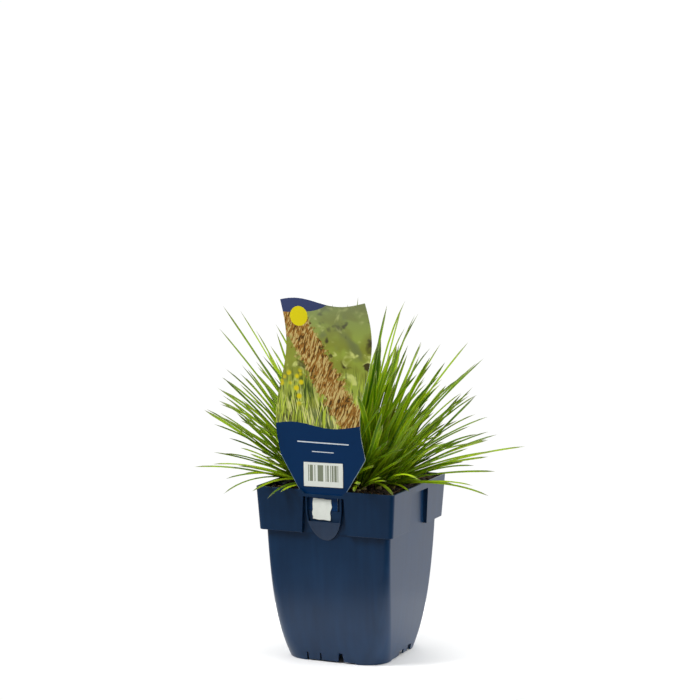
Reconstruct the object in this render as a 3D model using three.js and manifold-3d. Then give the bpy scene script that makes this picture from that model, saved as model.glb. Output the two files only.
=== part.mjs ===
// Tufted hair grass in a square two-litre nursery pot, with its plant label.
// Units are millimetres. The origin is on the surface that the pot stands on, under the pot's centre.
// +Z is up and -Y is the side with the label.
import * as THREE from 'three';
import { mergeVertices } from 'three/addons/utils/BufferGeometryUtils.js';
import Module from 'manifold-3d';

const wasm = await Module();
wasm.setup();

const clearance = 0.3; // between pieces that touch
const radians = Math.PI / 180;
const goldenAngle = 137.508 * radians;

const pot = {
  height: 166.5,
  rimHalf: 70, // half the width over the rim
  rimHeight: 6.5,
  wall: 1.5,
  collarBottom: 125.3,
  collarTaper: 0.0635, // the collar draws in by this much a millimetre
  collarRadius: 5,
  bodyHalf: 62.6, // half the width just under the collar
  bodyTaper: 5,
  bodyCurve: 7.2, // how much more the foot of the body draws in
  bodyRadius: 6,
  radiusGrowth: 18, // the corners are this much rounder at the foot
  floorUnderside: 7.5,
  footEnd: 25, // the corner feet start this far from the middle of a side
  footLift: 1.3,
  cornerSteps: 4,
};

const recess = { halfTop: 20.5, halfBottom: 23, step: 1.2 }; // in the middle of each side of the collar

const pocket = {
  half: 18.2, // of the pouch's rounded outline
  drop: 31.5,
  centre: 150, // height where the outline starts to close
  wall: 1.2,
  lip: 137,
  sill: 147, // the label's tongue ends on it
  slit: 4, // the gap behind the lip goes down this far
};

// Cuts in the skirt: place along the side, width at the bottom and the top, height.
const frontCuts = [[10.2, 6.6, 3.6, 10], [-10.5, 1.5, 1.5, 8.4], [-23.8, 1.7, 1.7, 8]];
const sideCuts = [[-1.5, 12, 10.5, 5.5], [18.5, 10, 8, 6.8]];
const drain = { radius: 4.5, out: 30 }; // round holes in the floor

const soil = {
  edge: 160, // height of the surface by the rim
  mound: 4.2,
  moundRadius: 50,
  corner: 5.5, // heaped up in the back right corner
  cornerRadius: 24,
  crumb: 0.8,
  cells: 9,
};

const label = {
  centre: -1.7, // across the front
  half: 42.6,
  front: -66.1, // the printed face, where the tongue is held
  thickness: 0.6,
  tongueHalf: 14.8,
  shoulder: 162.6,
  shoulderHalf: 22,
  corner: 197.4,
  flare: 0.6, // the lower edges spread by this much a millimetre
  top: 341.1,
  wave: 5.8,
  waveLength: 142,
  waveStart: 268,
  crest: 3.6,
  crestLength: 90,
  crestPlace: -27,
  bow: 3, // the sides lie this far behind the middle
  lean: -3,
  columns: 4,
};
const priceSticker = { across: 0.6, height: 180.8, width: 39.5, depth: 22.6, tilt: 0.012 };
const passportSticker = { across: -1, height: 148.4, width: 18.6, depth: 19.6, tilt: -0.03 };

const grass = {
  tillers: 36,
  blades: 8, // drawn for each tiller, beside the strays
  crown: [-4, 2],
  crownRadius: 47,
  lean: 50 * radians, // of the outermost tillers
  spread: 31 * radians, // of the blades about their tiller
  reach: [141, 106], // the furthest tips, across and along
  lowest: 150,
  tries: 14,
  seed: 20,
};

const stub = { sides: 6, buried: 12, above: 4.6, bottom: 4.6, top: 4, hole: 5, ring: 2.6, rootHeight: 2.8 };

const blade = {
  steps: 12, // along the middle line
  stride: 3, // steps between the rings of the solid
  thickness: 1.1,
  width: [2.4, 3.9],
  longest: 180,
  shorter: 84, // the blades that lie over are shorter by this much
  flat: 80 * radians, // the tilt of a blade that lies over
  droop: [4 * radians, 30 * radians],
  swerve: 13 * radians, // to either side
  twist: 35 * radians,
};

// Blades that stand out of the tuft. Each has the azimuth, distance and height of its tip, then how
// far its root is from the crown's middle, how many degrees it droops and its width.
const strays = [
  [190, 128, 331, 14, 5, 2.6],
  [215, 108, 331, 10, 5, 2.4],
  [181, 140.2, 307, 22, 7, 2.8],
  [228, 99, 314, 16, 6, 2.4],
  [176, 105.5, 275, 20, 10, 2.8],
  [222, 106, 269, 22, 10, 2.6],
  [200, 108, 258, 24, 12, 3],
  [186, 137, 250, 30, 14, 3],
  [208, 123.5, 249, 30, 10, 2.6],
  [196, 128, 237, 28, 38, 3],
  [188, 114, 210, 36, 16, 3],
  [228, 142, 202, 40, 12, 2.8],
  [194, 112, 177, 40, 14, 2.8],
  [206, 121, 168, 42, 34, 2.6],
  [199, 124, 151, 42, 52, 2.6],
  [100, 25, 340, 6, 6, 2.4],
  [50, 27, 297, 14, 6, 3],
  [30, 47, 330, 12, 6, 3],
  [0, 48, 299, 16, 8, 3.2],
  [45, 58, 294, 20, 8, 3],
  [10, 65, 287, 20, 9, 3],
  [35, 67.5, 298, 22, 9, 3.2],
  [18, 84, 298, 24, 11, 3],
  [28, 111.5, 298, 24, 11, 3.2],
  [15, 125, 285, 28, 10, 3.2],
  [36, 123, 276, 30, 12, 3],
  [5, 116.7, 278, 24, 14, 3.2],
  [30, 114, 249, 32, 14, 3.4],
  [0, 118, 253, 30, 14, 3.2],
  [40, 104.6, 230, 34, 16, 3],
  [12, 113, 221, 34, 20, 3.4],
  [22, 130, 213, 38, 18, 3.2],
  [8, 137.7, 199, 38, 18, 3.2],
  [35, 171.8, 193, 40, 14, 2.8],
  [27, 131, 187, 40, 16, 3],
  [16, 137, 177, 42, 14, 2.8],
  [350, 112, 172, 42, 20, 2.8],
  [4, 135, 158, 44, 30, 2.6],
  [240, 99, 158, 44, 64, 2.4],
  [249, 96, 166, 42, 50, 2.4],
  [233, 108, 164, 44, 50, 2.4],
  [294, 78, 168, 42, 52, 2.6],
  [317, 93, 165, 44, 50, 2.6],
  [331, 86, 166, 44, 40, 2.4],
  [90, 105.6, 236, 30, 22, 3.2],
  [62, 112, 250, 26, 18, 3.2],
  [120, 118, 228, 32, 22, 3],
  [150, 122, 262, 28, 16, 3],
  [76, 104, 186, 42, 24, 3],
  [106, 108, 198, 40, 26, 3],
];

function toSolid(geometry) {
  const bare = geometry.clone();
  bare.deleteAttribute('normal');
  bare.deleteAttribute('uv');
  const merged = mergeVertices(bare, 1e-4);
  const vertProperties = new Float32Array(merged.attributes.position.array);
  const triVerts = new Uint32Array(merged.index.array);
  return new wasm.Manifold(new wasm.Mesh({ numProp: 3, vertProperties, triVerts }));
}

function toGeometry(solid) {
  const { numProp, vertProperties, triVerts } = solid.getMesh();
  const geometry = new THREE.BufferGeometry();
  const places = new Float32Array((vertProperties.length / numProp) * 3);
  for (let i = 0; i < places.length / 3; i += 1) {
    for (let axis = 0; axis < 3; axis += 1) places[i * 3 + axis] = vertProperties[i * numProp + axis];
  }
  geometry.setAttribute('position', new THREE.BufferAttribute(places, 3));
  geometry.setIndex([...triVerts]);
  return geometry;
}

function indexedGeometry(points, faces) {
  const geometry = new THREE.BufferGeometry();
  geometry.setAttribute('position', new THREE.Float32BufferAttribute(points.flat(), 3));
  geometry.setIndex(faces.flat());
  return geometry;
}

// The largest connected skin of a geometry: hollows that blades enclose where they cross are filled.
function largestSkin(geometry) {
  const index = geometry.getIndex().array;
  const parent = Array.from({ length: geometry.attributes.position.count }, (_, i) => i);
  const root = (i) => {
    let top = i;
    while (parent[top] !== top) top = parent[top];
    parent[i] = top;
    return top;
  };
  for (let i = 0; i < index.length; i += 3) {
    parent[root(index[i + 1])] = root(index[i]);
    parent[root(index[i + 2])] = root(index[i]);
  }
  const skins = new Map();
  for (let i = 0; i < index.length; i += 3) {
    const top = root(index[i]);
    if (!skins.has(top)) skins.set(top, []);
    skins.get(top).push(index[i], index[i + 1], index[i + 2]);
  }
  const largest = [...skins.values()].reduce((best, skin) => (skin.length > best.length ? skin : best));
  geometry.setIndex(largest);
  return geometry;
}

function box(low, high) {
  const size = high.map((value, axis) => value - low[axis]);
  const geometry = new THREE.BoxGeometry(...size);
  geometry.translate(...low.map((value, axis) => value + size[axis] / 2));
  return toSolid(geometry);
}

// An outline of [across, height] points, extruded along Y from near to far.
function alongY(outline, near, far) {
  const shape = new THREE.Shape(outline.map(([x, z]) => new THREE.Vector2(x, z)));
  const geometry = new THREE.ExtrudeGeometry(shape, { depth: far - near, bevelEnabled: false });
  geometry.rotateX(Math.PI / 2);
  geometry.translate(0, far, 0);
  return toSolid(geometry);
}

// An outline of [y, height] points, extruded along X to both sides.
function alongX(outline, half) {
  const shape = new THREE.Shape(outline.map(([y, z]) => new THREE.Vector2(y, z)));
  const geometry = new THREE.ExtrudeGeometry(shape, { depth: 2 * half, bevelEnabled: false });
  geometry.rotateX(Math.PI / 2);
  geometry.rotateZ(Math.PI / 2);
  geometry.translate(-half, 0, 0);
  return toSolid(geometry);
}

function joined(solids) {
  return solids.reduce((whole, solid) => whole.add(solid));
}

// Square rings with round corners, one for each level, closed at both ends.
function squareLoft(levels) {
  const steps = pot.cornerSteps;
  const points = [];
  for (const { z, half, radius } of levels) {
    for (let corner = 0; corner < 4; corner += 1) {
      const middle = (corner + 0.5) * (Math.PI / 2);
      for (let step = 0; step <= steps; step += 1) {
        const angle = middle + (step / steps - 0.5) * (Math.PI / 2);
        const cx = Math.sign(Math.cos(middle)) * (half - radius);
        const cy = Math.sign(Math.sin(middle)) * (half - radius);
        points.push([cx + radius * Math.cos(angle), cy + radius * Math.sin(angle), z]);
      }
    }
  }
  return toSolid(ringedGeometry(points, 4 * (steps + 1)));
}

// Rings of as many points each, joined by a skin and closed by a fan at both ends.
function ringedGeometry(points, around) {
  const faces = [];
  const rings = points.length / around;
  for (let ring = 0; ring < rings - 1; ring += 1) {
    for (let i = 0; i < around; i += 1) {
      const a = ring * around + i;
      const b = ring * around + ((i + 1) % around);
      faces.push([a, b, b + around], [a, b + around, a + around]);
    }
  }
  const last = (rings - 1) * around;
  for (let i = 1; i < around - 1; i += 1) {
    faces.push([0, i + 1, i], [last, last + i, last + i + 1]);
  }
  return indexedGeometry(points, faces);
}

function bodyHalf(z) {
  const t = 1 - z / pot.collarBottom;
  return pot.bodyHalf - pot.bodyTaper * t - pot.bodyCurve * t ** 4;
}

function bodyRadius(z) {
  const t = Math.max(0, 1 - z / pot.collarBottom);
  return pot.bodyRadius + pot.radiusGrowth * t ** 1.8;
}

function collarHalf(z) {
  return pot.rimHalf - pot.collarTaper * (pot.height - z);
}

function bodyLoft(low, high, inset) {
  const heights = [0, 8, 20, 36, 58, 88, pot.collarBottom].filter((z) => z > low + 2 && z < high - 2);
  return squareLoft([low, ...heights, high].map((z) => ({
    z,
    half: bodyHalf(z) - inset,
    radius: bodyRadius(z) - inset,
  })));
}

function collarLoft(low, high, inset) {
  return squareLoft([low, high].map((z) => ({
    z,
    half: collarHalf(z) - inset,
    radius: pot.collarRadius - inset,
  })));
}

// The space of the four recesses, larger all round by grow.
function recesses(grow) {
  const top = pot.height - pot.rimHeight + grow;
  const low = pot.collarBottom - 6;
  const outline = [
    [-recess.halfBottom - grow, low],
    [recess.halfBottom + grow, low],
    [recess.halfTop + grow, top],
    [-recess.halfTop - grow, top],
  ];
  const front = alongY(outline, -pot.rimHalf - 10, -30);
  return joined([0, 90, 180, 270].map((turn) => front.rotate([0, 0, turn])));
}

// What lies outside the back plane of the recesses.
function recessDepths() {
  const low = pot.collarBottom - 8;
  const high = pot.height + 2;
  const outline = [
    [-bodyHalf(low) - recess.step, low],
    [-bodyHalf(high) - recess.step, high],
    [-pot.rimHalf - 12, high],
    [-pot.rimHalf - 12, low],
  ];
  const front = alongX(outline, 32);
  return joined([0, 90, 180, 270].map((turn) => front.rotate([0, 0, turn])));
}

// The hollow of the pot above its floor, smaller all round by gap.
function cavity(gap) {
  const inset = pot.wall + gap;
  const top = pot.height + 6;
  const body = bodyLoft(pot.floorUnderside + inset, top, inset);
  const collar = collarLoft(pot.collarBottom + inset, top, inset);
  return body.add(collar.subtract(recesses(inset)));
}

function pouchOutline(inset) {
  const outline = [];
  for (let step = 0; step <= 12; step += 1) {
    const angle = Math.PI * (1 + step / 12);
    outline.push([
      (pocket.half - inset) * Math.cos(angle),
      pocket.centre + (pocket.drop - inset) * Math.sin(angle),
    ]);
  }
  const top = pot.height - pot.rimHeight + 2;
  return [...outline, [pocket.half - inset, top], [inset - pocket.half, top]];
}

// The pouch that stands out of the front recess, and the hollow in it.
function labelPouch() {
  const bottom = pocket.centre - pocket.drop;
  const under = pot.height - pot.rimHeight;
  const rampFoot = bodyHalf(bottom) + 0.2;
  const outside = alongX([
    [-bodyHalf(bottom) + 1, bottom - 1],
    [-rampFoot, bottom - 1],
    [-collarHalf(pocket.lip), pocket.lip],
    [-collarHalf(under), under + 1],
    [-bodyHalf(under), under + 1],
  ], 30);
  const back = bodyHalf(under) + recess.step - clearance;
  const sillFront = label.front - 0.1;
  const lipInside = -collarHalf(pocket.lip) + pocket.wall;
  const rimInside = -collarHalf(under) + pot.wall;
  const hollow = alongX([
    [-back, under + 3],
    [-back, pocket.sill],
    [sillFront, pocket.sill],
    [sillFront + 0.5, pocket.lip - pocket.slit],
    [lipInside + 0.9, pocket.lip - pocket.slit],
    [lipInside, pocket.lip],
    [-pot.rimHalf - 5, pocket.lip],
    [-pot.rimHalf - 5, under],
    [rimInside, under],
    [rimInside, under + 3],
  ], 30);
  return {
    pouch: alongY(pouchOutline(0), -pot.rimHalf - 2, -bodyHalf(bottom) + 1).intersect(outside),
    hollow: alongY(pouchOutline(pocket.wall), -pot.rimHalf - 8, -40).intersect(hollow),
  };
}

function skirtCuts(cuts, near, far) {
  return joined(cuts.map(([place, wide, narrow, height]) => alongY([
    [place - wide / 2, -1],
    [place + wide / 2, -1],
    [place + narrow / 2, height],
    [place - narrow / 2, height],
  ], near, far)));
}

function footLifts() {
  const far = pot.rimHalf;
  const low = -1;
  return box([-pot.footEnd, -far, low], [pot.footEnd, far, pot.footLift])
    .add(box([-far, -pot.footEnd, low], [far, pot.footEnd, pot.footLift]));
}

function drainHoles() {
  const places = [[0, 0], [1, 1], [-1, 1], [-1, -1], [1, -1]];
  return joined(places.map(([x, y]) => {
    const geometry = new THREE.CylinderGeometry(drain.radius, drain.radius, 8, 12);
    geometry.rotateX(Math.PI / 2);
    geometry.translate(x * drain.out, y * drain.out, pot.floorUnderside);
    return toSolid(geometry);
  }));
}

function potSolid() {
  const collar = collarLoft(pot.collarBottom, pot.height, 0).subtract(recesses(0).intersect(recessDepths()));
  const { pouch, hollow } = labelPouch();
  const underside = bodyLoft(-1, pot.floorUnderside, pot.wall);
  const frontAndBack = skirtCuts(frontCuts, -pot.rimHalf, -40);
  const side = skirtCuts(sideCuts, -pot.rimHalf, -40);
  return bodyLoft(0, pot.height, 0)
    .add(collar)
    .add(pouch)
    .subtract(cavity(0))
    .subtract(underside)
    .subtract(hollow)
    .subtract(footLifts())
    .subtract(drainHoles())
    .subtract(joined([frontAndBack, frontAndBack.rotate([0, 0, 180])]))
    .subtract(joined([side.rotate([0, 0, 90]), side.rotate([0, 0, 270])]));
}

function soilHeight(x, y) {
  const fromCrown = ((x - grass.crown[0]) ** 2 + (y - grass.crown[1]) ** 2) / soil.moundRadius ** 2;
  const fromCorner = ((x - 50) ** 2 + (y - 50) ** 2) / soil.cornerRadius ** 2;
  return soil.edge
    + soil.mound * Math.exp(-fromCrown)
    + soil.corner * Math.exp(-fromCorner)
    + soil.crumb * Math.sin(x / 6.7 + 1) * Math.sin(y / 5.9);
}

function tillerPlace(index) {
  const out = grass.crownRadius * Math.sqrt((index + 0.5) / grass.tillers);
  const azimuth = index * goldenAngle;
  const x = grass.crown[0] + out * Math.cos(azimuth);
  const y = grass.crown[1] + out * Math.sin(azimuth);
  return { out, azimuth, x, y };
}

// A round peg at a tiller's place: radii at its bottom and top, and both heights.
function peg(place, bottom, top, low, high) {
  const geometry = new THREE.CylinderGeometry(top, bottom, high - low, stub.sides);
  geometry.rotateX(Math.PI / 2);
  geometry.translate(place.x, place.y, (low + high) / 2);
  return toSolid(geometry);
}

function stubSolid(place) {
  const surface = soilHeight(place.x, place.y);
  return peg(place, stub.bottom, stub.top, surface - stub.buried, surface + stub.above);
}

function soilSolid() {
  const wide = 2 * (pot.rimHalf + 4);
  const geometry = new THREE.BoxGeometry(wide, wide, 200, soil.cells, soil.cells, 1);
  const { position } = geometry.attributes;
  for (let i = 0; i < position.count; i += 1) {
    if (position.getZ(i) > 0) position.setZ(i, soilHeight(position.getX(i), position.getY(i)));
  }
  const holes = [];
  for (let index = 0; index < grass.tillers; index += 1) {
    const place = tillerPlace(index);
    const bottom = soilHeight(place.x, place.y) - stub.buried - clearance;
    holes.push(peg(place, stub.hole, stub.hole, bottom, pot.height + 12));
  }
  return cavity(clearance).intersect(toSolid(geometry)).subtract(joined(holes));
}

function labelWave(z) {
  return label.wave * Math.sin((2 * Math.PI * (z - label.waveStart)) / label.waveLength);
}

function labelEdge(z, side) {
  if (z < label.shoulder) return side * label.tongueHalf;
  const slant = label.shoulderHalf + label.flare * (z - label.shoulder);
  return side * Math.min(slant, label.half + side * labelWave(z));
}

function labelTop(across) {
  return label.crest * Math.cos((2 * Math.PI * (across - label.crestPlace)) / label.crestLength);
}

// Where the printed face lies, at a place across the label and a height.
function labelFace(across, z) {
  const free = THREE.MathUtils.clamp((z - label.corner + 20) / 160, 0, 1);
  return label.front + label.bow * free * (across / label.half) ** 2 + label.lean * free ** 2;
}

// A thin sheet: rows of points on its front, each with one behind it.
function sheetGeometry(rows, thickness) {
  const columns = rows[0].length;
  const front = rows.flat();
  const points = [...front, ...front.map(([x, y, z]) => [x, y + thickness, z])];
  const faces = [];
  const quad = (a, b, c, d) => faces.push([a, b, c], [a, c, d]);
  const back = front.length;
  for (let row = 0; row < rows.length - 1; row += 1) {
    for (let column = 0; column < columns - 1; column += 1) {
      const a = row * columns + column;
      quad(a, a + 1, a + columns + 1, a + columns);
      quad(back + a, back + a + columns, back + a + columns + 1, back + a + 1);
    }
    const left = row * columns;
    const right = left + columns - 1;
    quad(left, left + columns, back + left + columns, back + left);
    quad(right, back + right, back + right + columns, right + columns);
  }
  const last = (rows.length - 1) * columns;
  for (let column = 0; column < columns - 1; column += 1) {
    quad(column, back + column, back + column + 1, column + 1);
    quad(last + column, last + column + 1, back + last + column + 1, back + last + column);
  }
  return indexedGeometry(points, faces);
}

function spaced(low, high, count) {
  return Array.from({ length: count }, (_, i) => low + ((high - low) * i) / count);
}

function labelSheet() {
  const heights = [
    pocket.sill + clearance,
    label.shoulder - 0.8,
    ...spaced(label.shoulder, label.corner, 4),
    ...spaced(label.corner, label.top, 18),
    label.top,
  ];
  const rows = heights.map((height) => {
    const left = labelEdge(height, -1);
    const right = labelEdge(height, 1);
    const lift = THREE.MathUtils.smoothstep(height, label.top - 45, label.top);
    const row = [];
    for (let column = 0; column <= label.columns; column += 1) {
      const across = left + ((right - left) * column) / label.columns;
      const z = height + lift * labelTop(across);
      row.push([label.centre + across, labelFace(across, z), z]);
    }
    return row;
  });
  return sheetGeometry(rows, label.thickness);
}

function stickerSheet(sticker, thickness) {
  const rows = [-0.5, 0.5].map((up) => {
    const row = [];
    for (let column = 0; column <= 2; column += 1) {
      const along = (column / 2 - 0.5) * sticker.width;
      const z = sticker.height + up * sticker.depth + along * sticker.tilt;
      const across = sticker.across + along - up * sticker.depth * sticker.tilt;
      row.push([label.centre + across, labelFace(across, z) - clearance - thickness, z]);
    }
    return row;
  });
  return sheetGeometry(rows, thickness);
}

// Random numbers from 0 to 1, the same on every run for one seed.
function seeded(seed) {
  let state = seed >>> 0;
  return () => {
    state = (state + 0x6d2b79f5) >>> 0;
    let t = Math.imul(state ^ (state >>> 15), state | 1);
    t ^= t + Math.imul(t ^ (t >>> 7), t | 61);
    return ((t ^ (t >>> 14)) >>> 0) / 4294967296;
  };
}

// The numbers that shape one blade of a tiller; every try draws others.
function drawBlade(place, index, attempt) {
  const next = seeded(grass.seed * 100000 + place.index * 1000 + index * 20 + attempt);
  const lean = grass.lean * (place.out / grass.crownRadius) ** 1.3;
  const off = grass.spread * Math.sqrt(next());
  const around = index * goldenAngle + 0.4 * next();
  const tilt = lean + off * Math.cos(around);
  const azimuth = place.azimuth + (off * Math.sin(around)) / Math.max(Math.sin(Math.abs(lean)), 0.35);
  const longest = blade.longest - blade.shorter * THREE.MathUtils.clamp(tilt / blade.flat, 0, 1);
  return {
    x: place.x + stub.ring * Math.cos(around + place.azimuth),
    y: place.y + stub.ring * Math.sin(around + place.azimuth),
    azimuth,
    tilt,
    droop: THREE.MathUtils.lerp(...blade.droop, next()),
    swerve: THREE.MathUtils.lerp(-blade.swerve, blade.swerve, next()),
    length: longest * (0.5 + 0.5 * next() ** 0.8),
    width: THREE.MathUtils.lerp(...blade.width, next()),
    twist: THREE.MathUtils.lerp(-blade.twist, blade.twist, next()),
  };
}

// A stray's tip stays where it is, and every try bends the blade another way.
function drawStray(place, row, attempt) {
  const [azimuth, distance, height, , droop, width] = row;
  const next = seeded(grass.seed * 200000 + strays.indexOf(row) * 20 + attempt);
  const tip = [distance * Math.cos(azimuth * radians), distance * Math.sin(azimuth * radians), height];
  const x = place.x + 3 * (next() - 0.5);
  const y = place.y + 3 * (next() - 0.5);
  const out = Math.hypot(tip[0] - x, tip[1] - y);
  const rise = height - soilHeight(x, y) - stub.rootHeight;
  const bend = droop * radians * (1 + 0.2 * attempt * (next() - 0.4));
  const swerve = (next() - 0.5) * (8 + 6 * attempt) * radians;
  return {
    x,
    y,
    azimuth: Math.atan2(tip[1] - y, tip[0] - x) - 0.5 * swerve,
    tilt: Math.atan2(out, rise) - 0.4 * bend,
    droop: bend,
    swerve,
    length: Math.hypot(out, rise) * (1 + 0.03 * bend * bend),
    width,
    twist: (next() - 0.5) * 50 * radians,
    tip,
  };
}

// The blade's middle line, from the root to the tip.
function bladePath(shape) {
  const points = [[shape.x, shape.y, soilHeight(shape.x, shape.y) + stub.rootHeight]];
  const step = shape.length / blade.steps;
  for (let i = 0; i < blade.steps; i += 1) {
    const t = (i + 0.5) / blade.steps;
    const tilt = shape.tilt + shape.droop * t ** 1.5;
    const azimuth = shape.azimuth + shape.swerve * t;
    const [x, y, z] = points[i];
    points.push([
      x + step * Math.sin(tilt) * Math.cos(azimuth),
      y + step * Math.sin(tilt) * Math.sin(azimuth),
      z + step * Math.cos(tilt),
    ]);
  }
  if (!shape.tip) return points;
  const short = shape.tip.map((value, axis) => value - points[blade.steps][axis]);
  return points.map((point, i) => point.map((value, axis) => value + (short[axis] * i) / blade.steps));
}

function bladeWidth(t) {
  return (0.72 + 1.1 * t - 0.9 * t * t) * Math.min(1, 2.8 * (1 - t)) ** 0.8;
}

// A keeled blade: three-sided rings that end in a point, thicker all round by grow.
function bladeSolid(shape, path, grow) {
  const points = [];
  for (let i = 0; i < blade.steps; i += blade.stride) {
    const here = new THREE.Vector3(...path[i]);
    const before = new THREE.Vector3(...path[Math.max(0, i - 1)]);
    const along = new THREE.Vector3(...path[i + 1]).sub(before).normalize();
    const azimuth = shape.azimuth + shape.swerve * (i / blade.steps);
    const level = new THREE.Vector3(-Math.sin(azimuth), Math.cos(azimuth), 0);
    const turned = level.applyAxisAngle(along, shape.twist * (i / blade.steps - 0.2));
    const upper = new THREE.Vector3().crossVectors(turned, along).normalize();
    const width = shape.width * bladeWidth(i / blade.steps);
    const half = width / 2 + grow;
    const thick = blade.thickness * (0.6 + 0.4 * (width / shape.width));
    const rib = here.clone().addScaledVector(upper, thick * 0.35 + grow);
    const keel = here.clone().addScaledVector(upper, -thick * 0.65 - grow);
    const left = rib.clone().addScaledVector(turned, -half);
    const right = rib.clone().addScaledVector(turned, half);
    points.push(left.toArray(), right.toArray(), keel.toArray());
  }
  const rings = points.length / 3;
  points.push(path[blade.steps]);
  const faces = [[0, 2, 1]];
  for (let ring = 0; ring < rings - 1; ring += 1) {
    for (let side = 0; side < 3; side += 1) {
      const a = ring * 3 + side;
      const b = ring * 3 + ((side + 1) % 3);
      faces.push([a, b, b + 3], [a, b + 3, a + 3]);
    }
  }
  const last = (rings - 1) * 3;
  for (let side = 0; side < 3; side += 1) faces.push([last + side, last + ((side + 1) % 3), rings * 3]);
  return toSolid(indexedGeometry(points, faces));
}

function insideReach(path) {
  const [acrossReach, alongReach] = grass.reach;
  return path.every(([x, y, z]) => Math.abs(x) < acrossReach && Math.abs(y) < alongReach && z > grass.lowest);
}

// A tiller's blades, drawn again where one would cross the pot, the soil, the label or another tiller.
function growTillers(obstacles) {
  const tillers = [];
  for (let index = 0; index < grass.tillers; index += 1) {
    const place = { index, ...tillerPlace(index) };
    tillers.push({ place, solids: [stubSolid(place)], guards: [] });
  }
  const clear = (tiller, guard) => obstacles.every((solid) => guard.intersect(solid).isEmpty())
    && tillers.every((other) => other === tiller
      || [other.solids[0], ...other.guards].every((solid) => guard.intersect(solid).isEmpty()));
  const grow = (tiller, draw) => {
    for (let attempt = 0; attempt < grass.tries; attempt += 1) {
      const shape = draw(attempt);
      const path = bladePath(shape);
      if (insideReach(path)) {
        const guard = bladeSolid(shape, path, clearance / 2);
        if (clear(tiller, guard)) {
          tiller.solids.push(bladeSolid(shape, path, 0));
          tiller.guards.push(guard);
          return;
        }
      }
    }
  };
  for (const row of strays) {
    const rootX = grass.crown[0] + row[3] * Math.cos(row[0] * radians);
    const rootY = grass.crown[1] + row[3] * Math.sin(row[0] * radians);
    const distance = ({ place }) => Math.hypot(place.x - rootX, place.y - rootY);
    const nearest = tillers.reduce((best, tiller) => (distance(tiller) < distance(best) ? tiller : best));
    grow(nearest, (attempt) => drawStray(nearest.place, row, attempt));
  }
  for (let index = 0; index < grass.blades; index += 1) {
    for (const tiller of tillers) grow(tiller, (attempt) => drawBlade(tiller.place, index, attempt));
  }
  return tillers.map(({ solids }) => joined(solids));
}

function material(colour, roughness) {
  return new THREE.MeshStandardMaterial({ color: colour, roughness, metalness: 0 });
}

function piece(name, geometry, finish) {
  const mesh = new THREE.Mesh(geometry, finish);
  mesh.name = name;
  return mesh;
}

const navyPlastic = material('#20395a', 0.35);
const peat = material('#2a1c12', 0.95);
const printedPlastic = material('#0e3a6c', 0.3);
const whitePaper = material('#e6ebe4', 0.6);
const leafGreen = material('#6f9a1e', 0.5);

const potBody = potSolid();
const soilBody = soilSolid();
const labelGeometry = labelSheet();
const stickerGeometry = stickerSheet(priceSticker, 0.3);

const object = new THREE.Group();
object.add(piece('pot', toGeometry(potBody), navyPlastic));
object.add(piece('potting_soil', toGeometry(soilBody), peat));
object.add(piece('plant_label', labelGeometry, printedPlastic));
object.add(piece('price_sticker', stickerGeometry, whitePaper));
object.add(piece('passport_sticker', stickerSheet(passportSticker, 0.3), whitePaper));

const tillers = growTillers([potBody, soilBody, toSolid(labelGeometry), toSolid(stickerGeometry)]);
tillers.forEach((solid, index) => {
  const name = `tiller_${String(index + 1).padStart(2, '0')}`;
  object.add(piece(name, largestSkin(toGeometry(solid)), leafGreen));
});

export default object;
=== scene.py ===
import math

import bpy
import numpy as np
from mathutils import Matrix, Vector, noise
from mathutils.kdtree import KDTree


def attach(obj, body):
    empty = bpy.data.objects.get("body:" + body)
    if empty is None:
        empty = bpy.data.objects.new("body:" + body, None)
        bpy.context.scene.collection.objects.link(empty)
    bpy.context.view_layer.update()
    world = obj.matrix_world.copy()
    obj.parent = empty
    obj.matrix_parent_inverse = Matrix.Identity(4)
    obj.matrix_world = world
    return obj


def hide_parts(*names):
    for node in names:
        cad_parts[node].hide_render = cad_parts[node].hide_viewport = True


# Tufted hair grass in a square two-litre nursery pot, with its plant label.
# Sizes are in millimetres, and mm turns them to metres. -Y is the side with the label.

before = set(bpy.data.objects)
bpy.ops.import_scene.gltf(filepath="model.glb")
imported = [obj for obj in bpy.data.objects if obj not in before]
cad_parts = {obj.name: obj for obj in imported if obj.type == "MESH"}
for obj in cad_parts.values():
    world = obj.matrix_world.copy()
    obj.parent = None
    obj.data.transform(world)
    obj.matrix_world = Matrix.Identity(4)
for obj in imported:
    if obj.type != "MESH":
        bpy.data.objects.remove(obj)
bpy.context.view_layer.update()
mm = 0.001
goldenAngle = math.radians(137.508)
smooth = {"interpolation_type": "SMOOTHSTEP"}
rgba = {"data_type": "RGBA", "take": 2}


def linear(hexColour):
    parts = [int(hexColour[i : i + 2], 16) / 255 for i in (1, 3, 5)]
    return [c / 12.92 if c <= 0.04045 else ((c + 0.055) / 1.055) ** 2.4 for c in parts] + [1.0]


# The kind of a node may be followed by its operation.
def addNode(tree, kind, links=None, take=0, **settings):
    kind, _, operation = kind.partition(" ")
    node = tree.nodes.new("ShaderNode" + kind)
    if operation:
        node.operation = operation
    for name, value in settings.items():
        setattr(node, name, value)
    for socket, value in (links or {}).items():
        if isinstance(value, bpy.types.NodeSocket):
            tree.links.new(value, node.inputs[socket])
        else:
            node.inputs[socket].default_value = value
    return node if take is None else node.outputs[take]


def newMaterial(name, **sockets):
    material = bpy.data.materials.new(name)
    material.use_nodes = True
    tree = material.node_tree
    shader = tree.nodes["Principled BSDF"]
    for socket, value in sockets.items():
        shader.inputs[socket.replace("_", " ")].default_value = value
    return material, tree, shader


def newObject(name, data):
    made = bpy.data.objects.new(name, data)
    bpy.context.scene.collection.objects.link(made)
    return made


def selectNone():
    bpy.ops.object.select_all(action="DESELECT")


def pick(piece):
    selectNone()
    piece.select_set(True)
    bpy.context.view_layer.objects.active = piece
    return piece


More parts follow.
